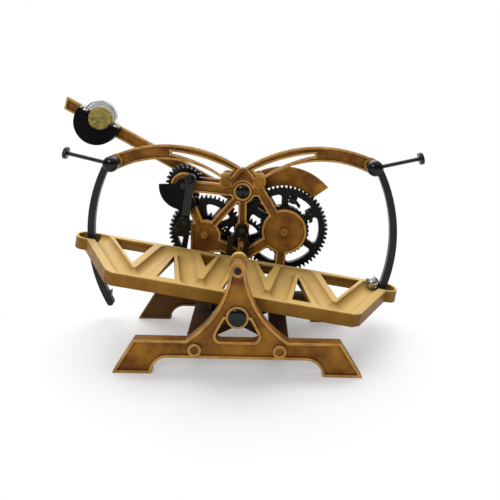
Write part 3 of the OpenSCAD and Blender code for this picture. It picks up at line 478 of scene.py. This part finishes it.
def track_lining(half, depth, floor, thickness, steps=12, across=25):
    """The hollow of the ball's track: the arc w = R - sqrt(R^2 - s^2) - floor carried along the
    zig-zag path, where s is the distance to the left of the path, from -half to half, and
    R = (half^2 + depth^2) / (2 * depth), so that the arc's ends lie depth above its middle. On the
    outside of a bend the cross-section swings round the bend's point in equal steps; on the inside
    every step lies on the bisector, at s / cos(half the turn). A second sheet lies thickness below
    the first."""
    path = np.concatenate([(HALF_TRACK * (-1, 1))[::-1], HALF_TRACK])
    run = np.diff(path, axis=0)
    run /= np.linalg.norm(run, axis=1)[:, None]
    left = np.stack([-run[:, 1], run[:, 0]], -1)
    into, out = left[:-1], left[1:]
    turn = np.arctan2(into[:, 0] * out[:, 1] - into[:, 1] * out[:, 0], (into * out).sum(1))
    middle = into + out
    middle /= np.linalg.norm(middle, axis=1)[:, None]
    middle /= (middle * into).sum(1)[:, None]
    swing = turn[:, None] * np.linspace(0, 1, steps)[None]
    swung = np.stack([into[:, :1] * np.cos(swing) - into[:, 1:] * np.sin(swing),
                      into[:, :1] * np.sin(swing) + into[:, 1:] * np.cos(swing)], -1)
    s = half * np.sin(np.linspace(-0.5, 0.5, across) * math.pi)
    aside = s[None, None, :, None]
    inside = aside * np.sign(turn)[:, None, None, None] > 0
    reach = np.where(inside, middle[:, None, None, :], swung[:, :, None, :]) * aside
    lines = (path[1:-1, None, None, :] + reach).reshape(-1, across, 2)
    first = path[0] + s[:, None] * left[0]
    last = path[-1] + s[:, None] * left[-1]
    lines = np.concatenate([first[None], lines, last[None]])
    radius = (half ** 2 + depth ** 2) / (2 * depth)
    top = -floor + radius - np.sqrt(radius ** 2 - s ** 2)
    loop = np.concatenate([lines, lines[:, ::-1]], 1)
    height = np.concatenate([top, (top - thickness)[::-1]])[None]
    points = in_tray(loop[..., 0], loop[..., 1], height)
    return points.reshape(-1, 3), sheet_faces(len(lines), 2 * across, wrap_cols=True)


def dome(radius, height, foot, steps=14):
    """Profile of a round cap: along = -height * cos a, radius * sin a for a from 0 to 90 degrees,
    then straight back to a flat foot."""
    a = np.linspace(0, math.pi / 2, steps)
    cap = np.stack([-height * np.cos(a), radius * np.sin(a)], -1)
    return np.concatenate([cap, [(foot, radius), (foot, 0)]])


def screw_shank(start, end, radius, pitch, centre, axis, steps=20, rings=6, cut=0.04):
    """A threaded rod: radius * (1 - cut * (1 + cos(2 pi along / pitch - t))) round the axis, where
    t is the angle, closed by flat ends. rings is how many rings of points a turn of the thread
    has."""
    along = np.linspace(start, end, int((end - start) / pitch * rings))
    u = np.cross(axis, BACK)
    v = np.cross(axis, u)
    t = np.linspace(0, 2 * math.pi, steps, endpoint=False)[None, :]
    thick = radius * (1 - cut * (1 + np.cos(2 * math.pi * along[:, None] / pitch - t)))
    thick[[0, -1]] = 0
    along[[0, -1]] = along[1], along[-2]
    points = centre + along[:, None, None] * axis \
        + thick[..., None] * (np.cos(t)[..., None] * u + np.sin(t)[..., None] * v)
    return points.reshape(-1, 3), sheet_faces(len(along), steps, wrap_cols=True)


def rounded_disc(radius, start, end, corner, steps=6):
    """Profile of a disc from start to end along its axis. Both rims are quarter circles: along =
    start + corner * (1 - cos a), radius - corner * (1 - sin a) for a from 0 to 90 degrees, and its
    mirror image at the end."""
    a = np.linspace(0, math.pi / 2, steps)
    rise = np.stack([start + corner * (1 - np.cos(a)), radius - corner + corner * np.sin(a)], -1)
    fall = rise[::-1] * (-1, 1) + (start + end, 0)
    return np.concatenate([[(start, 0)], rise, fall, [(end, 0)]])


def coin_profile(radius, thickness, step=0.16, slope=0.5, bevel=(0.2, 0.25)):
    """Profile of a plain coin: a flat field that steps down inside a raised border on both faces.
    The step's side is slope wide, and the border's outer edge is cut back along the axis and
    inwards by the bevel."""
    border = 0.84 * radius
    half = thickness / 2
    face = [(-half + step, 0), (-half + step, border - slope), (-half, border),
            (-half, radius - bevel[1]), (-half + bevel[0], radius)]
    return np.array(face + [(-along, r) for along, r in face[::-1]])


def strip(path, half, front, back, corner=0.7, steps=5):
    """A rounded rib carried along a path in the plane of the plates. Its cross-section runs across
    by half on each side and from y = front to y = back, with two front corners of the corner
    radius; at a bend it lies on the bisector, at distance / cos(half the turn)."""
    run = np.diff(path, axis=0)
    run /= np.linalg.norm(run, axis=1)[:, None]
    left = np.stack([-run[:, 1], run[:, 0]], -1)
    into, out = left[[0, *range(len(left))]], left[[*range(len(left)), -1]]
    middle = into + out
    middle /= np.linalg.norm(middle, axis=1)[:, None]
    middle /= (middle * into).sum(1)[:, None]
    a = np.linspace(0, math.pi / 2, steps)
    side = half - corner + corner * np.sin(a)
    deep = front + corner * (1 - np.cos(a))
    across = np.concatenate([side, [half, -half], -side[::-1]])
    depth = np.concatenate([deep, [back, back], deep[::-1]])
    flat = path[:, None] + across[None, :, None] * middle[:, None]
    depth = np.broadcast_to(depth, flat.shape[:2])
    points = np.stack([AXIS[0] + flat[..., 0], depth, flat[..., 1]], -1)
    return points.reshape(-1, 3), sheet_faces(len(path), len(across), wrap_cols=True)


def ring(radius, wire, centre, axis, steps, around=12):
    """A wire ring: the circle of radius wire carried round the circle of the given radius about the
    axis."""
    a = np.linspace(0, 2 * math.pi, around, endpoint=False)
    profile = np.stack([wire * np.sin(a), radius + wire * np.cos(a)], -1)
    points, _ = turned(profile, centre, axis, steps)
    return points, sheet_faces(around, steps, wrap_rows=True, wrap_cols=True)


def peak_face(apex, half, low, hub, hub_z, front, thick, across=33, up=12):
    """The panel under the wings' peak. Point (s, t), s from -1 to 1 and t from 0 to 1, lies at
    x = half * s * (1 - t) and at height foot + t * (apex - foot), where foot follows the hub's
    circle, hub_z + sqrt(hub^2 - (half * s)^2), and is never below hub_z + low. The first sheet lies
    at y = front, and a second one thick behind it."""
    x = half * np.linspace(-1, 1, across)
    t = np.linspace(0, 1, up)[:, None]
    foot = hub_z + np.sqrt(np.maximum(hub ** 2 - x ** 2, low ** 2))
    wide = x * (1 - t)
    face = np.stack([AXIS[0] + wide, np.full_like(wide, front), foot + t * (apex - foot)], -1)
    loop = np.concatenate([face, face[:, ::-1] + thick * BACK], 1)
    return loop.reshape(-1, 3), sheet_faces(up, 2 * across, wrap_cols=True)


def corners(node):
    """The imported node's two opposite box corners, in millimetres."""
    return tuple(np.array(corner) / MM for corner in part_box(node))


def middle_of(node):
    """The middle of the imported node's box, in millimetres."""
    return sum(corners(node)) / 2


def front_of(node):
    """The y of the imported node's front face, in millimetres."""
    return corners(node)[0][1]


def nodes_in(slot):
    """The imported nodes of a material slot."""
    return [name for name in NODES if SLOTS[name] == slot]


def rims_of(node):
    """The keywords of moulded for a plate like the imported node, whose rims lie in its front face
    and whose panels are sunk below them."""
    rim = front_of(node)
    return {"up": -BACK, "panel": -(rim + SUNK), "rim": -rim}


def tans(scene):
    """The tan colours: plain, darker for the mottle and the painted shade, and lighter for the wear and painted
    highlight on the rims.
    """
    c = scene.clock_colours
    return tuple(c.tan), tuple(c.tan_shade), tuple(c.tan_worn_and_lit)


# Operators

class ClockTan(bpy.types.Operator):
    """Coats the tan plates, wings, front stand, lever, blade, pins and base screws."""
    bl_idname = "clock.tan"
    bl_label = "Tan parts"

    def execute(self, context):
        tan, shade, worn = tans(context.scene)
        for name, nodes in (("front stand tan", ["front_stand"]),
                            ("front plate tan", ["front_plate"]),
                            ("rear plate tan", ["rear_plate"]),
                            ("wing tan", ["left_wing", "right_wing"]),
                            ("lever tan", ["drive_lever"])):
            coat(nodes, moulded(name, tan, shade, worn, **rims_of(nodes[0])))
        lighter = 1.4
        coat(["sector_blade"],
             moulded("blade tan", scaled(tan, lighter), scaled(shade, lighter), worn))
        coat(["pivot_bush", "wing_pins", "base_screws"], moulded("pin tan", tan, shade, worn))
        return {"FINISHED"}


class ClockBosses(bpy.types.Operator):
    """Makes the round heads on the wings' lugs and the bosses over the two big arbors."""
    bl_idname = "clock.bosses"
    bl_label = "Bosses"

    def execute(self, context):
        s = context.scene.clock_sizes
        low, high = corners("wing_pins")
        pin_r, sink = 3.5, 0.3
        lug = (high[0] - low[0]) / 2 - pin_r
        height = middle_of("wing_pins")[2]
        head = rounded_disc(s.lug_r, start=-1.7, end=1.3, corner=1.1)
        shells = [turned(head, [AXIS[0] + side * lug, low[1] + sink, height], BACK, s.round_steps)
                  for side in (-1, 1)]

        # The great arbor's boss is a little wider
        wider, over, rise, wire = 0.4, 0.2, 2.3, 0.35
        for node, radius in (("centre_arbor", s.boss_r), ("great_arbor", s.boss_r + wider)):
            place = middle_of(node)
            place[1] = front_of("front_plate") - over
            boss = rounded_disc(radius, start=-rise, end=1.2, corner=0.9)
            shells += [turned(boss, place, BACK, s.round_steps),
                       ring(radius / 2, wire, place - rise * BACK, BACK, s.round_steps)]
        finish = moulded("boss tan", *tans(context.scene))
        piece("plate_bosses", together(shells), finish, "frame")
        return {"FINISHED"}


class ClockPeak(bpy.types.Operator):
    """Makes the sunk panel under the wings' peak and the two ribs that join the wings over it."""
    bl_idname = "clock.peak"
    bl_label = "Peak between the wings"

    def execute(self, context):
        scene = context.scene

        # Distance from the middle and height
        apex, foot = (0, 105.4), (8.9, 96.4)
        path = np.array([(-foot[0], foot[1]), apex, foot])

        # The ribs stand a little before the wings and end a little before the plate
        wing, plate = front_of("left_wing"), front_of("front_plate")
        ribs = strip(path, scene.clock_sizes.rib_w / 2, front=wing - 0.2, back=plate - 0.1)
        piece("wing_ribs", ribs, moulded("rib tan", *tans(scene)), "frame")

        # The panel's top is hidden behind the ribs
        hidden = 0.4
        panel = peak_face(apex[1] - hidden, half=9.5, low=4.0, hub=8.3, hub_z=88.14,
                          front=plate + SUNK, thick=1.8)
        finish = moulded("peak tan", *tans(scene), **rims_of("front_plate"))
        piece("peak_panel", panel, finish, "frame")
        return {"FINISHED"}


class ClockTray(bpy.types.Operator):
    """Coats the tray and lays the hollow lining in its track."""
    bl_idname = "clock.tray"
    bl_label = "Tray"

    def execute(self, context):
        c, s = context.scene.clock_colours, context.scene.clock_sizes
        up = np.array([math.sin(TILT), 0, math.cos(TILT)])
        along = np.array([math.cos(TILT), 0, -math.sin(TILT)])
        rim = up @ (AXIS * (1, 0, 1)) - s.lane_floor + s.lane_depth

        # The light rims, wear and painted highlight, begin in the upper part of the track's walls
        below, above = 1.6, 0.2
        # The tray's faces that point up get painted light from above, and its painted shade reaches far from the
        # walls
        finish = moulded("tray tan", tuple(c.tray), tuple(c.tray_shade), tuple(c.tray_worn_and_lit), up=up,
                         panel=rim - below, rim=rim + above, gloss=0.42, painted_top_light=0.72, reach=7)
        coat(["tray", "left_loop", "right_loop"], finish)

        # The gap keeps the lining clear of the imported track's faces
        gap = 0.03
        lining = track_lining(s.lane_half, s.lane_depth - 2 * gap, s.lane_floor - gap, s.lining)
        trims = [(in_tray(side * s.lane_end, 0, 0), side * along) for side in (-1, 1)]
        piece("track_lining", lining, finish, "tray", trims=trims, crease=50)
        return {"FINISHED"}


class ClockBrown(bpy.types.Operator):
    """Coats the rear stand, the crossbars, the brace and the spacers in darker copies of the tan: painted shade.
    """
    bl_idname = "clock.brown"
    bl_label = "Brown parts"

    def execute(self, context):
        c = context.scene.clock_colours
        brown, shade, worn = tuple(c.brown), tuple(c.brown_shade), tuple(c.brown_worn_and_lit)
        coat(["left_crossbar", "right_crossbar", "base_brace", "foot_spacers"],
             moulded("tan in painted shade", brown, shade, worn))
        coat(["rear_stand"],
             moulded("rear stand tan in painted shade", tuple(c.stand), brown, worn, **rims_of("rear_stand")))
        return {"FINISHED"}


class ClockBlack(bpy.types.Operator):
    """Coats the wheels, arms and other black parts."""
    bl_idname = "clock.black"
    bl_label = "Black parts"

    def execute(self, context):
        c = context.scene.clock_colours
        worn = tuple(c.black_worn_and_lit)
        coat(nodes_in("black_plastic"),
             black_plastic("satin black", tuple(c.black), worn, shine=0.15, dust=0.12))
        coat(["left_arm", "right_arm"], black_plastic("arm black", tuple(c.arm), worn))
        return {"FINISHED"}


class ClockMetal(bpy.types.Operator):
    """Coats the arbors and pins, and makes the polished ball."""
    bl_idname = "clock.metal"
    bl_label = "Metal parts"

    def execute(self, context):
        c, s = context.scene.clock_colours, context.scene.clock_sizes

        # The base screws are tan, as the stand is
        steel = [name for name in nodes_in("dark_steel") if name != "base_screws"]
        coat(steel, metal("dark steel", tuple(c.steel), 0.3))
        polished = metal("polished steel", tuple(c.polished), 0.16, grain=300, worn=0.7)
        coat(["ball"], polished)

        # A half circle from pole to pole, turned about the upright
        a = np.linspace(0, math.pi, 33)
        profile = s.ball_r * np.stack([-np.cos(a), np.sin(a)], -1)
        profile[[0, -1], 1] = 0
        surface = turned(profile, middle_of("ball"), UP, s.round_steps)
        piece("steel_ball", surface, polished, "ball", stands_for=["ball"])
        return {"FINISHED"}


class ClockHubs(bpy.types.Operator):
    """Makes the glossy round caps on the arms' hubs, the upper hub, the rod and the front pin, and
    the button in the front stand, and coats the glossy and the deep black parts."""
    bl_idname = "clock.hubs"
    bl_label = "Hub caps and button"

    def execute(self, context):
        c, s = context.scene.clock_colours, context.scene.clock_sizes
        worn = tuple(c.black_worn_and_lit)
        glossy = black_plastic("glossy black", tuple(c.black), worn, gloss=0.1, shine=0.3,
                               dust=0.08)
        deep = black_plastic("deep black", scaled(c.black, 0.5), worn, shine=0.08, dust=0.03)
        coat(["bracket_pins", "crank_arbor", "pawl_pins", "tray_hanger", "connecting_rod"], glossy)
        coat(["coin_cup", "crank_weight"], deep)
        over = 0.25
        for side in ("left", "right"):
            centre = middle_of(side + "_arm_pin")
            centre[1] = front_of(side + "_arm") - over
            cap = turned(dome(s.hub_r, s.hub_h, foot=0), centre, BACK, s.round_steps)
            piece(side + "_hub_cap", cap, glossy, "frame")

        # Each small cap's name, joint and body, its radius and where its rim lies
        for name, joint, body, radius, rim in (
                ("upper_hub", "upper_pinion_turn", "frame", 5.0, front_of("front_plate") - 0.4),
                ("rod_head", "rod_top_pivot", "rod", 2.8, front_of("connecting_rod") - 0.2),
                ("pivot_head", "tray_rock", "frame", 2.3, FRONT + 0.5)):
            centre = np.array(JOINTS[joint]["pos_m"]) / MM
            centre[1] = rim
            cap = turned(dome(radius, height=1.6, foot=0.6), centre, BACK, s.round_steps)
            piece(name, cap, glossy, body)

        low, high = corners("window_cap")
        rise = 1.4
        centre = middle_of("window_cap")
        centre[1] = low[1] + rise
        profile = dome(s.button_r, rise, foot=high[1] - centre[1])
        button = turned(profile, centre, BACK, s.round_steps)
        piece("window_button", button, glossy, "frame", stands_for=["window_cap"])
        return {"FINISHED"}


class ClockScrews(bpy.types.Operator):
    """Makes the two balance screws, with their thread and rounded heads."""
    bl_idname = "clock.screws"
    bl_label = "Balance screws"

    def execute(self, context):
        c, s = context.scene.clock_colours, context.scene.clock_sizes
        finish = black_plastic("blackened screw", tuple(c.black), tuple(c.black_worn_and_lit), gloss=0.2,
                               shine=0.35, dust=0.1)
        head = rounded_disc(s.head_r, start=s.screw_l - s.head_t, end=s.screw_l, corner=0.9)
        into_head = 0.6 * s.head_t
        for side in ("left", "right"):
            joint = JOINTS[side + "_screw_turn"]
            axis = np.array(joint["axis"], float)
            hub = np.array(JOINTS[side + "_arm_swing"]["pos_m"]) / MM
            hub[1] = joint["pos_m"][1] / MM
            shank = screw_shank(s.screw_in, s.screw_l - into_head, s.screw_r, s.thread, hub, axis)
            screw = together([shank, turned(head, hub, axis, s.round_steps)])
            piece(side + "_screw", screw, finish, side + "_screw",
                  stands_for=[side + "_balance_screw"])
        return {"FINISHED"}


class ClockCoins(bpy.types.Operator):
    """Makes the plain coins and gives the drum its clear finish."""
    bl_idname = "clock.coins"
    bl_label = "Coins and drum"

    def execute(self, context):
        c, s = context.scene.clock_colours, context.scene.clock_sizes
        brass = coin_metal("handled brass", tuple(c.brass), tuple(c.brass_shade))
        coat(["coins"], brass)
        coat(["coin_drum"], clear_plastic("clear drum", tuple(c.clear)))
        low, high = corners("coins")
        count, gap = 3, 0.06
        thick = (high[1] - low[1]) / count
        x, _, z = middle_of("coins")
        profile = coin_profile(s.coin_r, thick - gap)
        shells = [turned(profile, [x, low[1] + (k + 0.5) * thick, z], BACK, s.round_steps)
                  for k in range(count)]
        piece("coin_stack", together(shells), brass, "lever", stands_for=["coins"])
        return {"FINISHED"}


class ClockTrim(bpy.types.Operator):
    """Makes the two metal rings round the clear drum and the two knobs that hold it."""
    bl_idname = "clock.trim"
    bl_label = "Drum trim"

    def execute(self, context):
        c, s = context.scene.clock_colours, context.scene.clock_sizes

        # The drum's middle, along the lever from its arbor and a little below the lever's line
        lean, cup_at, below = math.radians(151.5), 160, 5
        along = np.array([math.cos(lean), 0, math.sin(lean)])
        across = np.array([-math.sin(lean), 0, math.cos(lean)])
        arbor = np.array(JOINTS["lever_drop"]["pos_m"]) / MM * (1, 0, 1)
        drum = arbor + cup_at * along - below * across

        low, high = corners("coin_drum")
        inset = 0.35
        shells = [ring(s.ring_r, s.ring_wire, drum + y * BACK, BACK, s.round_steps)
                  for y in (low[1] + inset, high[1] - inset)]
        knob_at, knob_up, knob_in = 15.1, 0.9, 0.4
        knob = dome(s.knob_r, height=1.3, foot=4.5)
        for side in (-1, 1):
            place = drum + knob_at * side * along + knob_up * across + (low[1] + knob_in) * BACK
            shells.append(turned(knob, place, BACK, s.round_steps))
        finish = metal("bright trim", tuple(c.trim), 0.24, worn=0.7)
        piece("drum_trim", together(shells), finish, "lever")
        return {"FINISHED"}


class ClockStudio(bpy.types.Operator):
    """Sets the camera, the lamps, the pale room and the floor."""
    bl_idname = "clock.stage"
    bl_label = "Stage"

    def execute(self, context):
        scene = context.scene
        s = scene.clock_stage
        self.camera(scene, s)
        self.lamp("key lamp", s.key_power, s.key_size, s.key_place, s.aim)
        self.lamp("fill lamp", s.fill_power, s.fill_size, s.fill_place, s.aim)
        self.room(scene, s.room)
        self.floor(scene, s)
        scene.view_settings.view_transform = "Standard"
        return {"FINISHED"}

    def camera(self, scene, s):
        """The photo's camera, placed from the tray's axis on the front stand's face."""
        data = bpy.data.cameras.new("photo camera")
        data.sensor_width = 36
        data.lens, data.shift_y, data.clip_start = s.focal, s.shift, 0.01
        made = bpy.data.objects.new("photo camera", data)
        scene.collection.objects.link(made)
        turn = (Matrix.Rotation(s.yaw, 4, "Z") @ Matrix.Rotation(math.pi / 2 - s.pitch, 4, "X")
                @ Matrix.Rotation(s.roll, 4, "Z"))
        origin = Vector((AXIS[0] * MM, FRONT * MM, 0))
        made.matrix_world = Matrix.Translation(origin + Vector(s.place)) @ turn
        scene.camera = made

    def lamp(self, name, power, size, place, aim):
        """A square lamp aimed at the middle of the model, aim above the floor."""
        data = bpy.data.lights.new(name, "AREA")
        data.energy, data.size = power, size
        made = bpy.data.objects.new(name, data)
        made.location = place
        towards = Vector((0, 0, aim)) - made.location
        made.rotation_euler = towards.to_track_quat("-Z", "Y").to_euler()
        bpy.context.scene.collection.objects.link(made)

    def room(self, scene, strength):
        """White where the camera sees it, a soft light elsewhere, and in reflections and clear
        plastic white above and behind the model and dim in front, as in a studio with a white
        backdrop."""
        world = bpy.data.worlds.new("pale room")
        scene.world = world
        world.use_nodes = True
        g = Graph(world.node_tree)
        way = g.node("ShaderNodeSeparateXYZ", g.node("ShaderNodeTexCoord").outputs["Generated"])
        dim = 0.12
        behind = g.span(way.outputs["Y"], low=-0.25, high=0.3, to_low=dim)
        above = g.span(way.outputs["Z"], low=0.35, high=0.75, to_low=dim)
        ray = g.node("ShaderNodeLightPath").outputs
        mirrored = g.calc("MAXIMUM", ray["Is Glossy Ray"], ray["Is Transmission Ray"])
        studio = g.calc("MULTIPLY", mirrored, g.calc("MAXIMUM", behind, above))
        level = g.calc("ADD", studio, g.calc("MULTIPLY", g.rest(mirrored), strength))
        background = world.node_tree.nodes["Background"]
        g.feed(background.inputs["Color"], (1, 1, 1, 1))
        g.feed(background.inputs["Strength"], g.calc("MAXIMUM", level, ray["Is Camera Ray"]))

    def floor(self, scene, s):
        """A matt pale floor that turns to plain white away from the model, as the camera sees it. Under
        the model the camera sees a share of glowing white too, painted light that lightens the shadow."""
        reach = 4.0
        square = [(-reach, -reach, 0), (reach, -reach, 0), (reach, reach, 0), (-reach, reach, 0)]
        mesh = bpy.data.meshes.new("floor")
        mesh.from_pydata(square, [], [(0, 1, 2, 3)])
        made = bpy.data.objects.new("floor", mesh)
        scene.collection.objects.link(made)
        material = bpy.data.materials.new("pale floor")
        mesh.materials.append(material)
        material.use_nodes = True
        g = Graph(material.node_tree)
        matt = g.tree.nodes["Principled BSDF"]
        matt.inputs["Base Color"].default_value = (s.floor, s.floor, s.floor, 1)
        matt.inputs["Roughness"].default_value = 0.9
        matt.inputs["Specular IOR Level"].default_value = 0.0
        place = g.node("ShaderNodeTexCoord").outputs["Object"]
        distance = g.node("ShaderNodeVectorMath", place, operation="LENGTH").outputs["Value"]
        away = g.span(distance, s.white_from, s.white_at, to_low=s.floor_glow,
                      interpolation_type="SMOOTHSTEP")
        seen = g.node("ShaderNodeLightPath").outputs["Is Camera Ray"]
        share = g.calc("MULTIPLY", away, seen)
        white = g.node("ShaderNodeEmission").outputs[0]
        mixed = g.node("ShaderNodeMixShader", share, matt.outputs[0], white)
        g.feed(g.tree.nodes["Material Output"].inputs["Surface"], mixed.outputs[0])


STEPS = (ClockTan, ClockBosses, ClockPeak, ClockTray, ClockBrown, ClockBlack, ClockMetal, ClockHubs,
         ClockScrews, ClockCoins, ClockTrim, ClockStudio)


class ClockPanel(bpy.types.Panel):
    """Lists the clock's steps and settings."""
    bl_idname = "VIEW3D_PT_ball_clock"
    bl_label = "Ball clock model"
    bl_space_type = "VIEW_3D"
    bl_region_type = "UI"
    bl_category = "Ball Clock"

    def draw(self, context):
        for step in STEPS:
            self.layout.operator(step.bl_idname)
        for group in (getattr(context.scene, name) for name in GROUPS):
            box = self.layout.box()
            for name in group.__annotations__:
                box.prop(group, name)


GROUPS = {"clock_colours": ClockColours, "clock_sizes": ClockSizes, "clock_stage": ClockStage}


def register():
    for made in (*GROUPS.values(), *STEPS, ClockPanel):
        bpy.utils.register_class(made)
    for name, group in GROUPS.items():
        setattr(bpy.types.Scene, name, PointerProperty(type=group))


def unregister():
    for name in GROUPS:
        delattr(bpy.types.Scene, name)
    for made in reversed((*GROUPS.values(), *STEPS, ClockPanel)):
        bpy.utils.unregister_class(made)


def main():
    register()
    for step in STEPS:
        area, name = step.bl_idname.split(".")
        getattr(getattr(bpy.ops, area), name)()


if __name__ == "__main__":
    main()
